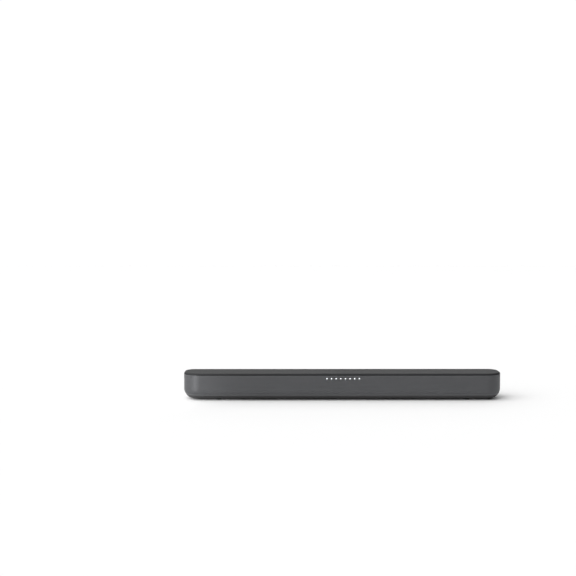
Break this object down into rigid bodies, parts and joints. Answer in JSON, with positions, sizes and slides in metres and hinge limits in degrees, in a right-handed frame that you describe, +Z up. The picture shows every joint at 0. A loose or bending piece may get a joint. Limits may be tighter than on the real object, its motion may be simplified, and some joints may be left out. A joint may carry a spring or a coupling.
{
  "type": "soundbar",
  "caption": "Long low soundbar with a wrap-round perforated front grille, curved-under base, flat lid with flush keys, status lights and a rear connector bay.",
  "frame": {"origin": "centre of the bar's plan, on the surface that the feet stand on", "axes": "+X to the right seen from the front, -Y out of the front grille, +Y out of the rear wall, +Z up"},
  "size_m": [0.8, 0.09, 0.068],
  "materials": {
    "case_plastic": "satin moulded ABS, near black",
    "lid_plastic": "satin moulded ABS, dark grey",
    "grille_paint": "perforated steel, fine dark grey powder coat",
    "cloth_black": "black acoustic cloth",
    "frame_plastic": "black moulded ABS",
    "foot_rubber": "black rubber",
    "bay_plastic": "black moulded ABS",
    "brass": "turned and knurled brass",
    "box_plastic": "black moulded ABS",
    "basket_steel": "black painted pressed steel",
    "foam": "closed-cell black foam",
    "ferrite": "dark sintered ferrite",
    "zinc_steel": "zinc-plated steel",
    "cone_paper": "coated black paper",
    "coil_copper": "copper winding",
    "surround_rubber": "black rubber roll",
    "spider_cloth": "resin-dipped cloth",
    "board_green": "green solder mask",
    "sink_aluminium": "extruded aluminium",
    "shield_tin": "tinned steel",
    "socket_black": "black moulded nylon",
    "board_tan": "tan phenolic board",
    "transformer_yellow": "yellow insulating tape on dark ferrite",
    "capacitor_sleeve": "dark blue shrink sleeve",
    "board_black": "black solder mask",
    "light_white": "white light-pipe ends",
    "lens_smoke": "smoked clear acrylic",
    "receiver_dark": "dark infrared-clear resin",
    "switch_metal": "stamped switch cover",
    "key_plastic": "satin moulded ABS",
    "plunger_black": "black nylon",
    "screw_steel": "zinc-plated steel",
    "lead_red": "red PVC insulation",
    "ribbon_white": "white flat ribbon"
  },
  "bodies": {
    "housing": {"bottom_case": "case_plastic", "top_cover": "lid_plastic", "front_grille": "grille_paint", "grille_cloth": "cloth_black", "grille_frame": "frame_plastic", "rubber_feet": "foot_rubber", "connector_bay": "bay_plastic", "socket_plate": "bay_plastic", "inlet_bay": "bay_plastic", "wall_inserts": "brass", "left_speaker_box": "box_plastic", "left_box_cover": "box_plastic", "left_basket": "basket_steel", "left_gasket": "foam", "left_magnet": "ferrite", "left_yoke": "zinc_steel", "left_surround": "surround_rubber", "left_spider": "spider_cloth", "right_speaker_box": "box_plastic", "right_box_cover": "box_plastic", "right_basket": "basket_steel", "right_gasket": "foam", "right_magnet": "ferrite", "right_yoke": "zinc_steel", "right_surround": "surround_rubber", "right_spider": "spider_cloth", "main_board": "board_green", "amplifier_heat_sink": "sink_aluminium", "wireless_module": "shield_tin", "hdmi_socket": "shield_tin", "optical_socket": "socket_black", "usb_socket": "shield_tin", "aux_jack": "socket_black", "power_board": "board_tan", "transformer": "transformer_yellow", "power_capacitors": "capacitor_sleeve", "mains_inlet": "socket_black", "display_board": "board_black", "status_lights": "light_white", "display_lens": "lens_smoke", "remote_receiver": "receiver_dark", "key_board": "board_green", "key_switches": "switch_metal", "case_screws": "screw_steel", "speaker_screws": "screw_steel", "board_screws": "screw_steel", "speaker_leads": "lead_red", "ribbon_cables": "ribbon_white"},
    "left_cone_assembly": {"left_cone": "cone_paper", "left_voice_coil": "coil_copper"},
    "right_cone_assembly": {"right_cone": "cone_paper", "right_voice_coil": "coil_copper"},
    "power_button": {"power_key": "key_plastic", "power_plunger": "plunger_black"},
    "source_button": {"source_key": "key_plastic", "source_plunger": "plunger_black"},
    "volume_down_button": {"volume_down_key": "key_plastic", "volume_down_plunger": "plunger_black"},
    "volume_up_button": {"volume_up_key": "key_plastic", "volume_up_plunger": "plunger_black"}
  },
  "joints": [
    {"name": "left_cone_slide", "type": "slide", "parent": "housing", "child": "left_cone_assembly", "axis": [0, -1, 0], "range_m": [-0.002, 0.002], "stiffness_N_per_m": 1500, "deforming": ["left_surround", "left_spider"]},
    {"name": "right_cone_slide", "type": "slide", "parent": "housing", "child": "right_cone_assembly", "axis": [0, -1, 0], "range_m": [-0.002, 0.002], "stiffness_N_per_m": 1500, "deforming": ["right_surround", "right_spider"]},
    {"name": "power_press", "type": "slide", "parent": "housing", "child": "power_button", "axis": [0, 0, -1], "range_m": [0, 0.0005], "stiffness_N_per_m": 1600, "springref_m": -0.0005},
    {"name": "source_press", "type": "slide", "parent": "housing", "child": "source_button", "axis": [0, 0, -1], "range_m": [0, 0.0005], "stiffness_N_per_m": 1600, "springref_m": -0.0005},
    {"name": "volume_down_press", "type": "slide", "parent": "housing", "child": "volume_down_button", "axis": [0, 0, -1], "range_m": [0, 0.0005], "stiffness_N_per_m": 1600, "springref_m": -0.0005},
    {"name": "volume_up_press", "type": "slide", "parent": "housing", "child": "volume_up_button", "axis": [0, 0, -1], "range_m": [0, 0.0005], "stiffness_N_per_m": 1600, "springref_m": -0.0005}
  ]
}
